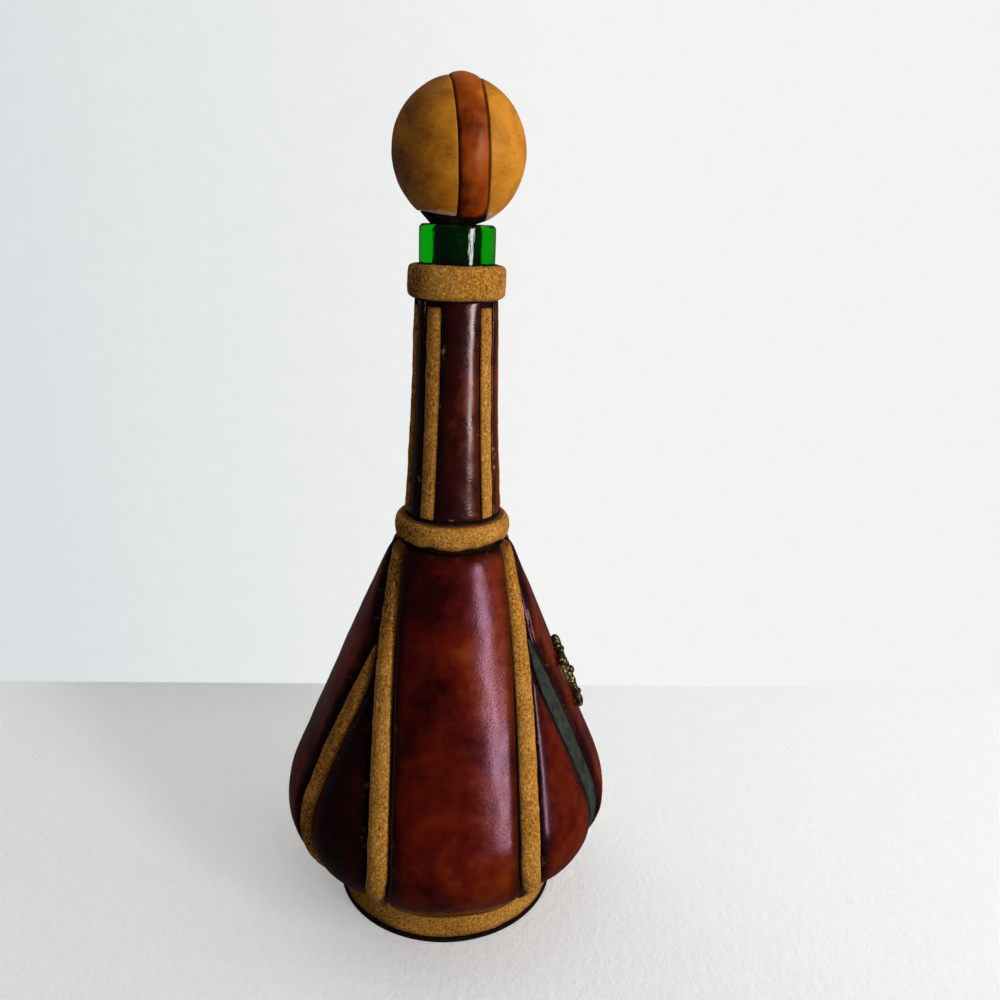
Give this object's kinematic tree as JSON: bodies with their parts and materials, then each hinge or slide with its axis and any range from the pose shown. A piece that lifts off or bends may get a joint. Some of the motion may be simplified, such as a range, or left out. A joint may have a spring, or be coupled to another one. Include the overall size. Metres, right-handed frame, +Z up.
{
  "type": "leather-wrapped decanter",
  "caption": "Pear-shaped glass decanter covered in glued leather panels and half-round strips, with a slim neck and a leather-covered ball stopper on a cork that lifts out.",
  "frame": {"origin": "centre of the base pad's underside, on the bottle's axis", "axes": "+Z up the bottle's axis to the stopper; the ornament faces -Y; the side panels face -X and +X"},
  "size_m": [0.1406, 0.1406, 0.3384],
  "materials": {
    "red_leather": "polished",
    "split_leather": "rough split",
    "green_leather": "matte",
    "tan_leather": "satin",
    "dark_backing": "matte",
    "green_glass": "clear",
    "antique_brass": "antique",
    "turned_wood": "raw",
    "cork": "raw"
  },
  "bodies": {
    "bottle": {"glass_bottle": "green_glass", "foot_ring": "split_leather", "base_pad": "dark_backing", "body_liner": "dark_backing", "neck_liner": "dark_backing", "neck_base_ring": "split_leather", "neck_top_ring": "split_leather", "side_panel_left": "red_leather", "side_panel_right": "red_leather", "front_panel": "red_leather", "back_panel": "red_leather", "long_strip_front_left": "split_leather", "short_strip_front_left": "green_leather", "gusset_front_left": "red_leather", "long_strip_back_left": "split_leather", "short_strip_back_left": "split_leather", "gusset_back_left": "red_leather", "long_strip_front_right": "split_leather", "short_strip_front_right": "green_leather", "gusset_front_right": "red_leather", "long_strip_back_right": "split_leather", "short_strip_back_right": "split_leather", "gusset_back_right": "red_leather", "neck_strip_1": "split_leather", "neck_panel_front_left": "red_leather", "neck_strip_2": "split_leather", "neck_panel_front_right": "red_leather", "neck_strip_3": "split_leather", "neck_panel_right": "red_leather", "neck_strip_4": "split_leather", "neck_panel_back_right": "red_leather", "neck_strip_5": "split_leather", "neck_panel_back_left": "red_leather", "neck_strip_6": "split_leather", "neck_panel_left": "red_leather", "ornament": "antique_brass"},
    "stopper": {"stopper_core": "turned_wood", "stopper_seat": "dark_backing", "cork_plug": "cork", "stopper_dowel": "turned_wood", "stopper_cap_back": "tan_leather", "stopper_cap_front": "tan_leather", "stopper_strap": "red_leather"}
  },
  "joints": [
    {"name": "stopper_lift", "type": "slide", "parent": "bottle", "child": "stopper", "axis": [0, 0, 1], "range_m": [0, 0.07]}
  ]
}
